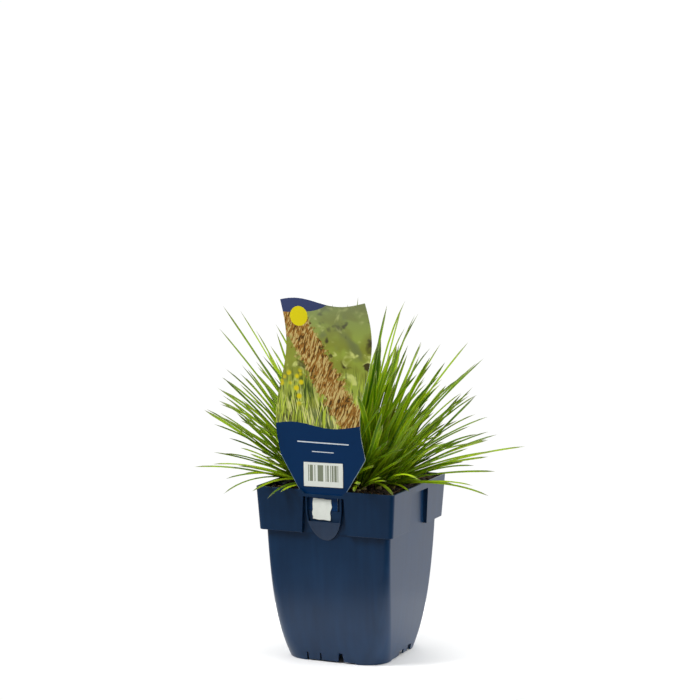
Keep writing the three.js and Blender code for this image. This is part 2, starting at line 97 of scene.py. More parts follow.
def editAll(piece):
    pick(piece)
    bpy.ops.object.mode_set(mode="EDIT")
    bpy.ops.mesh.select_all(action="SELECT")


def leaveEdit():
    bpy.ops.object.mode_set(mode="OBJECT")


def applyPlace(piece):
    pick(piece)
    bpy.ops.object.transform_apply(location=True, rotation=True, scale=True)
    return piece


def applyModifier(piece, kind, **settings):
    pick(piece)
    modifier = piece.modifiers.new(kind.lower(), kind)
    for name, value in settings.items():
        setattr(modifier, name, value)
    bpy.ops.object.modifier_apply(modifier=modifier.name)
    return piece


def boolean(piece, tool, operation):
    applyModifier(piece, "BOOLEAN", object=tool, operation=operation, solver="EXACT")
    bpy.data.objects.remove(tool)
    return piece


def keepLargest(piece):
    editAll(piece)
    bpy.ops.mesh.separate(type="LOOSE")
    leaveEdit()
    parts = sorted(bpy.context.selected_objects, key=lambda part: len(part.data.vertices))
    for part in parts[:-1]:
        bpy.data.objects.remove(part)
    return pick(parts[-1])


def joinPieces(pieces, name):
    selectNone()
    for piece in pieces:
        piece.select_set(True)
    bpy.context.view_layer.objects.active = pieces[0]
    bpy.ops.object.join()
    pieces[0].name = pieces[0].data.name = name
    return pieces[0]


def getPoints(piece):
    points = np.empty(len(piece.data.vertices) * 3)
    piece.data.vertices.foreach_get("co", points)
    return points.reshape(-1, 3)


def setPoints(piece, points):
    piece.data.vertices.foreach_set("co", np.asarray(points, float).ravel())
    piece.data.update()


def outward(piece):
    editAll(piece)
    bpy.ops.mesh.remove_doubles(threshold=1e-6)
    bpy.ops.mesh.normals_make_consistent(inside=False)
    leaveEdit()
    return piece


# A filled circle is extruded upwards step by step. A pointed one closes its last ring to a point.
def extrudedCircle(sides, steps, pointed=False):
    selectNone()
    bpy.ops.mesh.primitive_circle_add(vertices=sides, radius=1, fill_type="NGON")
    piece = bpy.context.object
    editAll(piece)
    for _ in range(steps):
        bpy.ops.mesh.extrude_region_move(TRANSFORM_OT_translate={"value": (0, 0, 1)})
    if pointed:
        bpy.ops.mesh.merge(type="CENTER")
    leaveEdit()
    return outward(piece)


# A copy of a template with its own mesh and the given points, in millimetres.
def copyShaped(template, name, points):
    copy = newObject(name, template.data.copy())
    setPoints(copy, points * mm)
    return copy


def finishPiece(piece, material, nodes, angle):
    pick(piece)
    bpy.ops.object.shade_smooth_by_angle(angle=math.radians(angle))
    piece.data.materials.clear()
    piece.data.materials.append(material)
    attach(piece, "root")
    if nodes:
        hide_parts(*nodes)


def smoothStep(value, low, high):
    t = np.clip((value - low) / (high - low), 0, 1)
    return t * t * (3 - 2 * t)


photoView = {
    "pixels": 700,
    "focal": 2074.76,  # in pixels
    "yaw": math.radians(22.982),
    "pitch": math.radians(5.878),
    "at": (0.76312, -1.80518, 0.49261),
}
studio = {
    "floorRadius": 225,
    "key": {"at": (-1.5, -1.3, 2.0), "size": 1.1, "watts": 64},
    "side": {"at": (1.9, 0.1, 0.8), "size": 0.9, "watts": 26},
    "top": {"at": (0.2, 0.5, 2.2), "size": 1.6, "watts": 26},
    "aim": (0, 0, 0.16),
    "backLight": 1.05,  # the paper behind the object
    "frontLight": 0.28,  # the room in front of it
    "topLight": 0.55,
    "seenLight": 1.02,  # what the camera sees behind the object
}


def makeCamera():
    data = bpy.data.cameras.new("camera")
    data.sensor_width = 36
    data.lens = photoView["focal"] / photoView["pixels"] * data.sensor_width
    camera = newObject("camera", data)
    yaw, pitch = photoView["yaw"], photoView["pitch"]
    back = Vector((math.sin(yaw) * math.cos(pitch), -math.cos(yaw) * math.cos(pitch), math.sin(pitch)))
    right = Vector((math.cos(yaw), math.sin(yaw), 0))
    turn = Matrix((right, back.cross(right), back)).transposed().to_4x4()
    camera.matrix_world = Matrix.Translation(photoView["at"]) @ turn
    bpy.context.scene.camera = camera


def makeStudio():
    selectNone()
    bpy.ops.mesh.primitive_circle_add(vertices=96, radius=studio["floorRadius"] * mm, fill_type="NGON")
    floor = bpy.context.object
    floor.name = "floor"
    floor.data.materials.append(newMaterial("paleFloor", Roughness=0.9, Base_Color=linear("#fbfbfb"))[0])

    for name in ("key", "side", "top"):
        light = studio[name]
        data = bpy.data.lights.new(name, "AREA")
        data.shape = "SQUARE"
        data.size = light["size"]
        data.energy = light["watts"]
        lamp = newObject(name, data)
        lamp.location = light["at"]
        lamp.rotation_euler = (Vector(studio["aim"]) - lamp.location).to_track_quat("-Z", "Y").to_euler()

    # bright paper behind, a darker room in front that is black at the right; the camera sees plain white
    world = bpy.data.worlds.new("studio")
    world.use_nodes = True
    bpy.context.scene.world = world
    tree = world.node_tree
    background = tree.nodes["Background"]
    direction = addNode(tree, "TexCoord", take="Generated")
    axes = addNode(tree, "SeparateXYZ", {0: direction}, take=None)
    behind = addNode(tree, "MapRange", {"Value": axes.outputs["Y"], "From Min": 0.25, "From Max": 0.6,
        "To Max": studio["backLight"]}, **smooth)
    inFront = addNode(tree, "MapRange", {"Value": axes.outputs["X"], "From Min": 0.2, "From Max": 0.6,
        "To Min": studio["frontLight"], "To Max": 0.0}, **smooth)
    above = addNode(tree, "MapRange", {"Value": axes.outputs["Z"], "From Min": 0.2, "From Max": 0.9,
        "To Max": studio["topLight"]}, **smooth)
    lower = addNode(tree, "Math MAXIMUM", {0: behind, 1: inFront})
    strength = addNode(tree, "Math MAXIMUM", {0: lower, 1: above})
    seen = addNode(tree, "LightPath", take="Is Camera Ray")
    shown = addNode(tree, "Mix", {"Factor": seen, 2: strength, 3: studio["seenLight"]}, data_type="FLOAT")
    tree.links.new(shown, background.inputs["Strength"])
    background.inputs["Color"].default_value = (1, 1, 1, 1)
    bpy.context.scene.view_settings.view_transform = "Standard"


makeCamera()
makeStudio()
print("camera and studio: done")


def makePotPlastic():
    # Injection moulded polypropylene, dyed navy: a satin skin that mirrors softly at a low angle.
    material, tree, shader = newMaterial("mouldedPolypropylene", Roughness=0.3, IOR=1.49,
        Specular_IOR_Level=0.34)
    place = addNode(tree, "TexCoord", take="Object")
    clouds = addNode(tree, "TexNoise", {"Vector": place, "Scale": 22.0, "Detail": 3.0})  # 45 mm clouds
    streaked = addNode(tree, "Mapping", {"Vector": place, "Scale": (160, 160, 9)})  # flow lines up the wall
    streaks = addNode(tree, "TexNoise", {"Vector": streaked, "Scale": 1.0, "Detail": 2.0})
    both = addNode(tree, "Math ADD", {0: clouds, 1: streaks})
    amount = addNode(tree, "MapRange", {"Value": both, "From Min": 0.7, "From Max": 1.35})
    colour = addNode(tree, "Mix", {"Factor": amount, 6: linear("#0a2846"), 7: linear("#103152")}, **rgba)
    tree.links.new(colour, shader.inputs["Base Color"])
    rough = addNode(tree, "MapRange", {"Value": clouds, "To Min": 0.28, "To Max": 0.36})
    tree.links.new(rough, shader.inputs["Roughness"])
    grain = addNode(tree, "TexNoise", {"Vector": place, "Scale": 1400.0, "Detail": 2.0})  # 0.7 mm mould grain
    height = addNode(tree, "Math MULTIPLY", {0: grain, 1: 0.4})
    bump = addNode(tree, "Bump", {"Height": height, "Strength": 0.12, "Distance": 0.0002})
    tree.links.new(bump, shader.inputs["Normal"])
    return material


def makePeat(name, dark, light):
    # Moist peat and bark compost: matt, with lighter broken fibre in it. It is nearly black, its crumbs are
    # a little browner, and the dried fibres on it are the colour of straw.
    material, tree, shader = newMaterial(name, Roughness=0.92)
    place = addNode(tree, "TexCoord", take="Object")
    lumps = addNode(tree, "TexNoise", {"Vector": place, "Scale": 160.0, "Detail": 6.0, "Roughness": 0.7})
    specks = addNode(tree, "TexVoronoi", {"Vector": place, "Scale": 420.0}, take="Distance")
    mixed = addNode(tree, "Math MULTIPLY", {0: lumps, 1: specks})
    amount = addNode(tree, "MapRange", {"Value": mixed, "From Min": 0.1, "From Max": 0.42})
    colour = addNode(tree, "Mix", {"Factor": amount, 6: linear(dark), 7: linear(light)}, **rgba)
    tree.links.new(colour, shader.inputs["Base Color"])
    bump = addNode(tree, "Bump", {"Height": lumps, "Strength": 0.8, "Distance": 0.0012})
    tree.links.new(bump, shader.inputs["Normal"])
    return material


pot = {
    "height": 166.5,
    "rimHalf": 70.0,
    "rimHeight": 6.5,
    "wall": 1.5,
    "collarBottom": 125.3,
    "collarTaper": 0.0635,
    "collarRadius": 5.0,
    "bodyHalf": 62.6,
    "bodyTaper": 5.0,
    "bodyCurve": 7.2,
    "bodyRadius": 6.0,
    "radiusGrowth": 18.0,
    "floorUnderside": 7.5,
    "footEnd": 25.0,
    "footLift": 1.3,
    "recessHalfTop": 20.5,
    "recessHalfBottom": 23.0,
    "recessStep": 1.2,
    "frontCuts": [(10.2, 6.6, 3.6, 10), (-10.5, 1.5, 1.5, 8.4), (-23.8, 1.7, 1.7, 8)],
    "sideCuts": [(-1.5, 12, 10.5, 5.5), (18.5, 10, 8, 6.8)],
    "drainRadius": 4.5,
    "drainOut": 30.0,
    "cornerSteps": 10,
    "levels": 26,
    "rounding": 0.5,  # of the rim, the collar's foot and the pot's foot
}
pouch = {
    "half": 18.2,
    "drop": 31.5,
    "centre": 150.0,
    "wall": 1.2,
    "lip": 137.0,
    "sill": 147.0,
    "slit": 4.0,
    "rounding": 0.9,
    "strapTop": 162.6,  # of the rim in front of the label
    "strapHalf": (18.5, 24.0),  # at its foot and over the rim
}
labelFront = -66.1


def bodyHalf(z):
    t = 1 - z / pot["collarBottom"]
    return pot["bodyHalf"] - pot["bodyTaper"] * t - pot["bodyCurve"] * t**4


def bodyRadius(z):
    return pot["bodyRadius"] + pot["radiusGrowth"] * max(0, 1 - z / pot["collarBottom"]) ** 1.8


def collarHalf(z):
    return pot["rimHalf"] - pot["collarTaper"] * (pot["height"] - z)


# A square with round corners is extruded level by level, then each level gets its own width and radius.
def squareLoft(levels):
    selectNone()
    half, radius = levels[0][1], levels[0][2]
    bpy.ops.mesh.primitive_plane_add(size=2 * half * mm)
    piece = bpy.context.object
    editAll(piece)
    bpy.ops.mesh.bevel(offset=radius * mm, segments=pot["cornerSteps"], affect="VERTICES")
    for _ in levels[1:]:
        bpy.ops.mesh.extrude_region_move(TRANSFORM_OT_translate={"value": (0, 0, mm)})
    leaveEdit()
    points = getPoints(piece) / mm
    table = np.array(levels)[np.rint(points[:, 2]).astype(int)]
    side = np.sign(points[:, :2])
    cornerTurn = (points[:, :2] - side * (half - radius)) / radius
    points[:, :2] = side * (table[:, 1] - table[:, 2])[:, None] + table[:, 2][:, None] * cornerTurn
    points[:, 2] = table[:, 0]
    setPoints(piece, points * mm)
    return outward(piece)


# An outline of (across, height) points, extruded along Y. It starts as a filled circle of as many points.
def prism(outline, near, far, turned=0):
    selectNone()
    bpy.ops.mesh.primitive_circle_add(vertices=len(outline), radius=1, fill_type="NGON")
    piece = bpy.context.object
    setPoints(piece, [(x * mm, near * mm, z * mm) for x, z in outline])
    editAll(piece)
    bpy.ops.mesh.extrude_region_move(TRANSFORM_OT_translate={"value": (0, (far - near) * mm, 0)})
    leaveEdit()
    piece.rotation_euler.z = math.radians(turned)
    applyPlace(piece)
    return outward(piece)


# The same, for an outline of (y, height) points extruded along X to both sides.
def sidePrism(outline, half):
    return prism([(-y, z) for y, z in outline], -half, half, turned=-90)


def bodyLevels(low, high, inset, roundFoot=0.0):
    heights = np.linspace(0, 1, pot["levels"]) ** 1.35
    levels = [(z, bodyHalf(z) - inset, bodyRadius(z) - inset) for z in low + heights * (high - low)]
    if roundFoot:
        z, half, radius = levels[0]
        part = roundFoot * 0.3
        levels[0:1] = [(z, half - roundFoot, radius - roundFoot), (z + part, half - part, radius - part),
            (z + roundFoot, bodyHalf(z + roundFoot), radius)]
    return levels


def collarLevels(low, high, inset, rounding=0.0):
    if not rounding:
        return [(z, collarHalf(z) - inset, pot["collarRadius"] - inset) for z in (low, high)]
    r, part = rounding, 0.3 * rounding
    steps = [(low, r), (low + part, part), (low + r, 0.0), (high - r, 0.0), (high - part, part), (high, r)]
    return [(z, collarHalf(z) - inset - less, pot["collarRadius"] - inset - less) for z, less in steps]


def recessTools(grow, toBack):
    tools = []
    low, high = pot["collarBottom"] - 6, pot["height"] - pot["rimHeight"] + grow
    for turn in (0, 90, 180, 270):
        tool = prism([
            (-pot["recessHalfBottom"] - grow, low),
            (pot["recessHalfBottom"] + grow, low),
            (pot["recessHalfTop"] + grow, high),
            (-pot["recessHalfTop"] - grow, high),
        ], -pot["rimHalf"] - 10, -30)
        if toBack:  # the back of the recess leans with the body
            points = getPoints(tool) / mm
            inner = points[:, 1] > -50
            points[inner, 1] = [-bodyHalf(z) - pot["recessStep"] for z in points[inner, 2]]
            setPoints(tool, points * mm)
        tool.rotation_euler.z = math.radians(turn)
        tools.append(applyPlace(tool))
    return tools


def makeCavity(gap):
    inset = pot["wall"] + gap
    top = pot["height"] + 6
    body = squareLoft(bodyLevels(pot["floorUnderside"] + inset, top, inset))
    collar = squareLoft(collarLevels(pot["collarBottom"] + inset, top, inset))
    for tool in recessTools(inset, False):
        boolean(collar, tool, "DIFFERENCE")
    return boolean(body, collar, "UNION")


def pouchOutline(inset):
    half, drop = pouch["half"] - inset, pouch["drop"] - inset
    turns = [math.pi * (1 + step / 28) for step in range(29)]
    top = pot["height"] - pot["rimHeight"] + 2
    curve = [(half * math.cos(a), pouch["centre"] + drop * math.sin(a)) for a in turns]
    return curve + [(half, top), (-half, top)]


def makePot():
    piece = squareLoft(bodyLevels(0, pot["height"], 0, roundFoot=pot["rounding"]))
    collar = squareLoft(collarLevels(pot["collarBottom"], pot["height"], 0, rounding=pot["rounding"]))
    for tool in recessTools(0, True):
        boolean(collar, tool, "DIFFERENCE")
    boolean(piece, collar, "UNION")

    # the pouch for the label's tongue
    bottom = pouch["centre"] - pouch["drop"]
    under = pot["height"] - pot["rimHeight"]
    foot = bodyHalf(bottom) + 0.2
    shell = prism(pouchOutline(0), -pot["rimHalf"] - 2, -bodyHalf(bottom) + 1)
    ramp = sidePrism([
        (-bodyHalf(bottom) + 1, bottom - 1),
        (-foot, bottom - 1),
        (-collarHalf(pouch["lip"]), pouch["lip"]),
        (-collarHalf(under), under + 1),
        (-bodyHalf(under), under + 1),
    ], 30)
    boolean(shell, ramp, "INTERSECT")
    applyModifier(shell, "BEVEL", width=pouch["rounding"] * mm, segments=2, limit_method="ANGLE",
        angle_limit=math.radians(40))
    boolean(piece, shell, "UNION")

    boolean(piece, makeCavity(0), "DIFFERENCE")
    boolean(piece, squareLoft(bodyLevels(-1, pot["floorUnderside"], pot["wall"])), "DIFFERENCE")

    back = bodyHalf(under) + pot["recessStep"] - 0.3
    lipInside = -collarHalf(pouch["lip"]) + pouch["wall"]
    rimInside = -collarHalf(under) + pot["wall"]
    slit = pouch["lip"] - pouch["slit"]
    hollow = sidePrism([
        (-back, under + 3),
        (-back, pouch["sill"]),
        (labelFront - 0.1, pouch["sill"]),
        (labelFront + 0.4, slit),
        (lipInside + 0.9, slit),
        (lipInside, pouch["lip"]),
        (-pot["rimHalf"] - 5, pouch["lip"]),
        (-pot["rimHalf"] - 5, under),
        (rimInside, under),
        (rimInside, under + 3),
    ], 30)
    window = prism(pouchOutline(pouch["wall"]), -pot["rimHalf"] - 8, -40)
    boolean(piece, boolean(window, hollow, "INTERSECT"), "DIFFERENCE")

    # the rim is lower in front of the label
    narrow, wide = pouch["strapHalf"]
    above = pot["height"] + 1
    strap = [(-wide, above), (wide, above), (narrow, pouch["strapTop"]), (-narrow, pouch["strapTop"])]
    boolean(piece, prism(strap, -pot["rimHalf"] - 3, labelFront - 0.6), "DIFFERENCE")

    # feet, skirt cuts and drain holes
    far, end, lifted = pot["rimHalf"], pot["footEnd"], pot["footLift"]
    lift = [(-end, -1), (end, -1), (end, lifted), (-end, lifted)]
    boolean(piece, prism(lift, -far, far), "DIFFERENCE")
    boolean(piece, prism(lift, -far, far, turned=90), "DIFFERENCE")
    for cuts, turns in ((pot["frontCuts"], (0, 180)), (pot["sideCuts"], (90, 270))):
        for place, wide, narrow, height in cuts:
            for turn in turns:
                outline = [(place - wide / 2, -1), (place + wide / 2, -1), (place + narrow / 2, height),
                    (place - narrow / 2, height)]
                boolean(piece, prism(outline, -pot["rimHalf"], -40, turned=turn), "DIFFERENCE")
    out = pot["drainOut"] * mm
    for x, y in ((0, 0), (1, 1), (-1, 1), (-1, -1), (1, -1)):
        selectNone()
        bpy.ops.mesh.primitive_cylinder_add(vertices=32, radius=pot["drainRadius"] * mm, depth=8 * mm,
            location=(x * out, y * out, pot["floorUnderside"] * mm))
        boolean(piece, applyPlace(bpy.context.object), "DIFFERENCE")
    piece.name = piece.data.name = "nursery_pot"
    finishPiece(piece, makePotPlastic(), ["pot"], 32)
    # flat faces stay flat beside the round edges
    applyModifier(piece, "WEIGHTED_NORMAL", keep_sharp=True, weight=100)


makePot()
print("pot: done")


crown = {"x": -4.0, "y": 2.0, "radius": 47.0, "tillers": 36}
soil = {
    "edge": 160.0,
    "mound": 4.2,
    "moundRadius": 50.0,
    "corner": 5.5,
    "cornerRadius": 24.0,
    "cornerPlace": 50.0,
    "ripple": 0.8,
    "lumps": 1.3,  # height of the small lumps
    "lumpWidth": 5.5,
    "cuts": 70,
    "gap": 0.3,  # to the pot's wall
    "crumbs": 1100,
    "crumbSize": (0.5, 1.5),  # the smallest, and how much bigger the biggest is
    "fibres": 170,
    "fibreLength": (4, 17),
    "fibreRadius": (0.16, 0.42),
}


def soilHeight(x, y):
    fromCrown = ((x - crown["x"]) ** 2 + (y - crown["y"]) ** 2) / soil["moundRadius"] ** 2
    fromCorner = ((x - soil["cornerPlace"]) ** 2 + (y - soil["cornerPlace"]) ** 2) / soil["cornerRadius"] ** 2
    ripple = soil["ripple"] * math.sin(x / 6.7 + 1) * math.sin(y / 5.9)
    mound = soil["mound"] * math.exp(-fromCrown)
    return soil["edge"] + mound + soil["corner"] * math.exp(-fromCorner) + ripple


def soilLump(x, y):
    rough = noise.fractal(Vector((x / soil["lumpWidth"], y / soil["lumpWidth"], 3.0)), 0.9, 2.1, 4)
    return soilHeight(x, y) + soil["lumps"] * rough


def makeSoil():
    wide = 2 * (pot["rimHalf"] + 4)
    selectNone()
    bpy.ops.mesh.primitive_cube_add(size=1, location=(0, 0, 80 * mm), scale=(wide * mm, wide * mm, 160 * mm))
    piece = applyPlace(bpy.context.object)
    editAll(piece)
    bpy.ops.mesh.select_all(action="DESELECT")
    leaveEdit()
    for face in piece.data.polygons:
        face.select = face.normal.z > 0.5
    bpy.ops.object.mode_set(mode="EDIT")
    bpy.ops.mesh.select_mode(type="FACE")
    bpy.ops.mesh.subdivide(number_cuts=soil["cuts"])
    bpy.ops.mesh.subdivide(number_cuts=1)
    leaveEdit()
    points = getPoints(piece) / mm
    for point in points:
        if point[2] > 100:
            point[2] = soilLump(point[0], point[1])
    setPoints(piece, points * mm)
    boolean(piece, makeCavity(soil["gap"]), "INTERSECT")
    piece = keepLargest(outward(piece))
    piece.name = piece.data.name = "peat_soil"
    finishPiece(piece, makePeat("peatCompost", "#0d0905", "#3a2a1a"), ["potting_soil"], 60)

    # crumbs of peat: one lump, copied with its own size, turn and dents
    draw = np.random.default_rng(7)
    selectNone()
    bpy.ops.mesh.primitive_cube_add(size=1)
    lump = bpy.context.object
    bpy.ops.object.mode_set(mode="EDIT")
    bpy.ops.mesh.subdivide(number_cuts=1, smoothness=1)
    leaveEdit()
    base = getPoints(lump)
    copies = []
    inside = pot["rimHalf"] - 4.5
    least, spare = soil["crumbSize"]
    for _ in range(soil["crumbs"]):
        x, y = draw.uniform(-inside, inside, 2)
        size = least + spare * draw.random() ** 2.5
        dented = base * (1 + 0.35 * draw.uniform(-1, 1, (len(base), 1)))
        turn = Matrix.Rotation(draw.uniform(0, 6.28), 3, "Z") @ Matrix.Rotation(draw.uniform(0, 6.28), 3, "X")
        shaped = (dented * size * draw.uniform(0.7, 1.3, 3)) @ np.array(turn)
        copies.append(copyShaped(lump, "crumb", shaped + (x, y, soilLump(x, y) + 0.2 * size)))
    bpy.data.objects.remove(lump)
    crumbs = joinPieces(copies, "peat_crumbs")
    finishPiece(outward(crumbs), makePeat("peatCrumb", "#0e0905", "#3a2918"), [], 70)

    # fibres and bits of root
    steps = 7
    strand = extrudedCircle(3, steps)
    base = getPoints(strand)
    along = base[:, 2] / steps
    copies = []
    for _ in range(soil["fibres"]):
        x, y = draw.uniform(-inside + 6, inside - 6, 2)
        length = draw.uniform(*soil["fibreLength"])
        thick = draw.uniform(*soil["fibreRadius"])
        heading, bend = draw.uniform(0, 6.28), draw.uniform(-1.6, 1.6)
        rise = draw.uniform(0.2, 1.6)
        angle = heading + bend * (along - 0.5)
        px = x + length * (along - 0.5) * np.cos(angle) - base[:, 0] * thick * np.sin(angle)
        py = y + length * (along - 0.5) * np.sin(angle) + base[:, 0] * thick * np.cos(angle)
        ground = np.array([soilHeight(a, b) for a, b in zip(px, py)])
        pz = ground + 0.9 + rise * np.sin(np.pi * along) + base[:, 1] * thick
        copies.append(copyShaped(strand, "fibre", np.stack([px, py, pz], 1)))
    bpy.data.objects.remove(strand)
    fibres = joinPieces(copies, "peat_fibres")
    finishPiece(outward(fibres), makePeat("driedFibre", "#3b2614", "#8a6c47"), [], 60)


makeSoil()
print("soil: done")


label = {
    "centre": -1.7,
    "half": 42.6,
    "thickness": 0.6,
    "tongueHalf": 14.8,
    "shoulder": 162.6,
    "shoulderHalf": 22.0,
    "corner": 197.4,
    "flare": 0.6,
    "top": 341.1,
    "wave": 5.8,
    "waveLength": 142.0,
    "waveStart": 268.0,
    "crest": 3.6,
    "crestLength": 90.0,
    "crestPlace": -27.0,
    "bow": 3.0,
    "lean": -3.0,
    "columns": 28,
    "tongue": [147.3, 161.8],  # its end, and where the shoulder starts
}
priceSticker = {"name": "price_sticker", "across": 0.6, "height": 180.8, "width": 39.5, "depth": 22.6,
    "tilt": 0.012, "curl": 0.1, "bars": True}
passportSticker = {"name": "passport_sticker", "across": -1.0, "height": 148.4, "width": 18.6, "depth": 19.6,
    "tilt": -0.03, "curl": 0.9, "bars": False}
bars = {"cell": 0.8, "share": 0.56, "across": (-0.3, 15.4), "up": (1.4, 7.6), "ink": "#888f78"}


def labelEdge(z, side):
    if z < label["shoulder"]:
        return side * label["tongueHalf"]
    wave = label["wave"] * math.sin(2 * math.pi * (z - label["waveStart"]) / label["waveLength"])
    slant = label["shoulderHalf"] + label["flare"] * (z - label["shoulder"])
    return side * min(slant, label["half"] + side * wave)


def labelTop(across):
    return label["crest"] * math.cos(2 * math.pi * (across - label["crestPlace"]) / label["crestLength"])


def labelFace(across, z):
    free = min(max((z - label["corner"] + 20) / 160, 0), 1)
    return labelFront + label["bow"] * free * (across / label["half"]) ** 2 + label["lean"] * free**2


def makeLabelBack():
    # The unprinted side of the label: white polystyrene sheet.
    material, tree, shader = newMaterial("whitePolystyrene", Roughness=0.34, IOR=1.59)
    place = addNode(tree, "TexCoord", take="Object")
    haze = addNode(tree, "TexNoise", {"Vector": place, "Scale": 60.0, "Detail": 3.0})
    colour = addNode(tree, "Mix", {"Factor": haze, 6: linear("#dfe3e0"), 7: linear("#f2f4f1")}, **rgba)
    tree.links.new(colour, shader.inputs["Base Color"])
    return material


# What is printed on the label: a made-up meadow in millimetres, on the label's own middle line.
meadow = {
    "base": "#979f3c",
    # soft clouds: size, seed, noise limits, colour
    "clouds": [
        (22, 1.0, 0.42, 0.60, "#a9bb4c"),
        (30, 5.0, 0.50, 0.64, "#7d8650"),
        (11, 9.0, 0.55, 0.68, "#dde483"),
        (14, 14.0, 0.55, 0.66, "#4c4420"),
    ],
    # brush strokes: lean, length, width, seed, noise limits, colour, from which height down
    "strokes": [
        (0.10, 34, 2.6, 3.0, 0.50, 0.60, "#4c601f", 288),
        (-0.16, 26, 2.0, 21.0, 0.53, 0.60, "#c2d446", 282),
        (0.22, 22, 1.6, 33.0, 0.56, 0.62, "#e4e48c", 268),
    ],
    # a drift of dry straw that leans to the left
    "driftFoot": (27, 232),
    "driftLean": 0.60,
    "driftHalf": 15,
    "husk": "#a8742f",
    "chaff": "#dcc47c",
    "between": "#55401c",
    "flower": "#ecd81f",
    "flowersAt": (-27, labelFront, 262),
    "sky": "#8a9474",
    "blue": "#002f5c",
    "band": "#3f4a74",
    "fieldTop": (2.4, 226.5),  # how far it waves, and around which height
    "bandFoot": (5.5, 331.2),
    "disc": "#f3e315",
    "discAt": (-23.5, 327.9, 0),
    "discRadius": 9.2,
    "cutEdge": "#8fa9bd",
    "line": "#dfe7ee",
    "lines": [(210.5, 26.0, 1.1), (202.0, 11.0, 0.8)],  # height, half length and thickness
}


